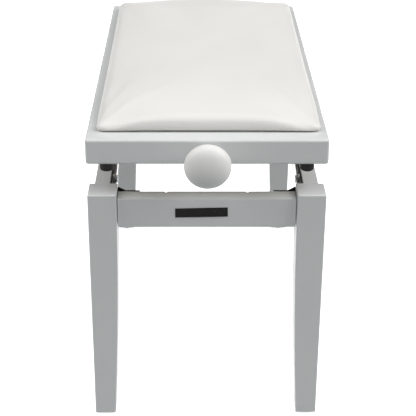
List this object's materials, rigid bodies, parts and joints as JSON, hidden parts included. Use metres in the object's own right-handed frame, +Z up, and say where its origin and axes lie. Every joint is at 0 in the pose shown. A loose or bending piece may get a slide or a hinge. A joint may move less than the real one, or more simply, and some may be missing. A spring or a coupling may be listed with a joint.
{
  "type": "piano bench",
  "caption": "Height-adjustable piano bench: padded seat on a lacquered box frame, four tapered legs, and a screw-driven scissor lift turned by end knobs.",
  "frame": {"origin": "on the floor under the middle of the bench", "axes": "+Y along the seat, +X across it to the right seen from the front knob, +Z up"},
  "size_m": [0.33, 0.744, 0.4845],
  "materials": {
    "white_lacquer": "semi-gloss white lacquer on wood",
    "leatherette": "smooth white leatherette, satin",
    "knob_plastic": "white moulded plastic, satin gloss",
    "black_steel": "black powder coat",
    "zinc_steel": "bright zinc plate",
    "black_rubber": "matt black rubber",
    "nylon": "natural nylon",
    "bare_wood": "bare birch",
    "plate_plastic": "gloss black plate, blank"
  },
  "bodies": {
    "leg_frame": {"leg_front_left": "white_lacquer", "leg_front_right": "white_lacquer", "leg_back_left": "white_lacquer", "leg_back_right": "white_lacquer", "glide_front_left": "black_rubber", "glide_front_right": "black_rubber", "glide_back_left": "black_rubber", "glide_back_right": "black_rubber", "end_apron_front": "white_lacquer", "end_apron_back": "white_lacquer", "side_apron_left": "white_lacquer", "side_apron_right": "white_lacquer", "lower_rail_left": "black_steel", "lower_rail_right": "black_steel", "bracket_front_left": "black_steel", "bracket_front_right": "black_steel", "bracket_back_left": "black_steel", "bracket_back_right": "black_steel", "apron_dowels": "bare_wood", "leg_bolts": "zinc_steel", "leg_washers": "zinc_steel", "leg_nuts": "zinc_steel", "rail_screws": "zinc_steel", "bracket_screws": "zinc_steel", "lower_pivot_pins": "zinc_steel", "lower_pivot_washers": "nylon", "name_plate": "plate_plastic"},
    "seat": {"seat_side_left": "white_lacquer", "seat_side_right": "white_lacquer", "seat_end_front": "white_lacquer", "seat_end_back": "white_lacquer", "seat_board": "bare_wood", "seat_dowels": "bare_wood", "cushion": "leatherette", "upper_rail_left": "black_steel", "upper_rail_right": "black_steel", "upper_rail_screws": "zinc_steel", "upper_pivot_pins": "zinc_steel", "upper_pivot_sleeves": "nylon", "bumper_front_left": "black_rubber", "bumper_front_right": "black_rubber", "bumper_back_left": "black_rubber", "bumper_back_right": "black_rubber", "bearing_front": "nylon", "bearing_back": "nylon"},
    "outer_arms": {"outer_arm_left": "zinc_steel", "outer_arm_right": "zinc_steel", "outer_arm_tie": "zinc_steel", "centre_pins": "zinc_steel"},
    "inner_arms": {"inner_arm_left": "zinc_steel", "inner_arm_right": "zinc_steel", "slide_rod": "zinc_steel"},
    "nut_bar": {"nut_block": "zinc_steel", "cross_bar_left": "zinc_steel", "cross_bar_right": "zinc_steel"},
    "screw": {"lead_screw": "zinc_steel", "thrust_collars": "zinc_steel", "knob_front": "knob_plastic", "knob_back": "knob_plastic", "knob_pins": "zinc_steel"}
  },
  "joints": [
    {"name": "seat_lift", "type": "slide", "parent": "leg_frame", "child": "seat", "axis": [0, 0, 1], "range_m": [-0.0305, 0.0695]},
    {"name": "outer_arm_swing", "type": "hinge", "parent": "leg_frame", "child": "outer_arms", "pos_m": [0, -0.2415, 0.36], "axis": [1, 0, 0], "range_deg": [-3.71, 8.39]},
    {"name": "inner_arm_swing", "type": "hinge", "parent": "seat", "child": "inner_arms", "pos_m": [0, -0.2415, 0.432], "axis": [1, 0, 0], "range_deg": [-8.39, 3.71]},
    {"name": "nut_slide", "type": "slide", "parent": "seat", "child": "nut_bar", "axis": [0, 1, 0], "range_m": [-0.01341, 0.00594]},
    {"name": "screw_turn", "type": "hinge", "parent": "seat", "child": "screw", "pos_m": [0, 0, 0.432], "axis": [0, 1, 0], "range_deg": [-701.9, 1598.2]}
  ],
  "couplings": [
    {"joint": "outer_arm_swing", "follows": "seat_lift", "rad_per_m": 2.095},
    {"joint": "inner_arm_swing", "follows": "seat_lift", "rad_per_m": -2.095},
    {"joint": "nut_slide", "follows": "seat_lift", "ratio": -0.1915},
    {"joint": "screw_turn", "follows": "seat_lift", "rad_per_m": 401.1}
  ]
}
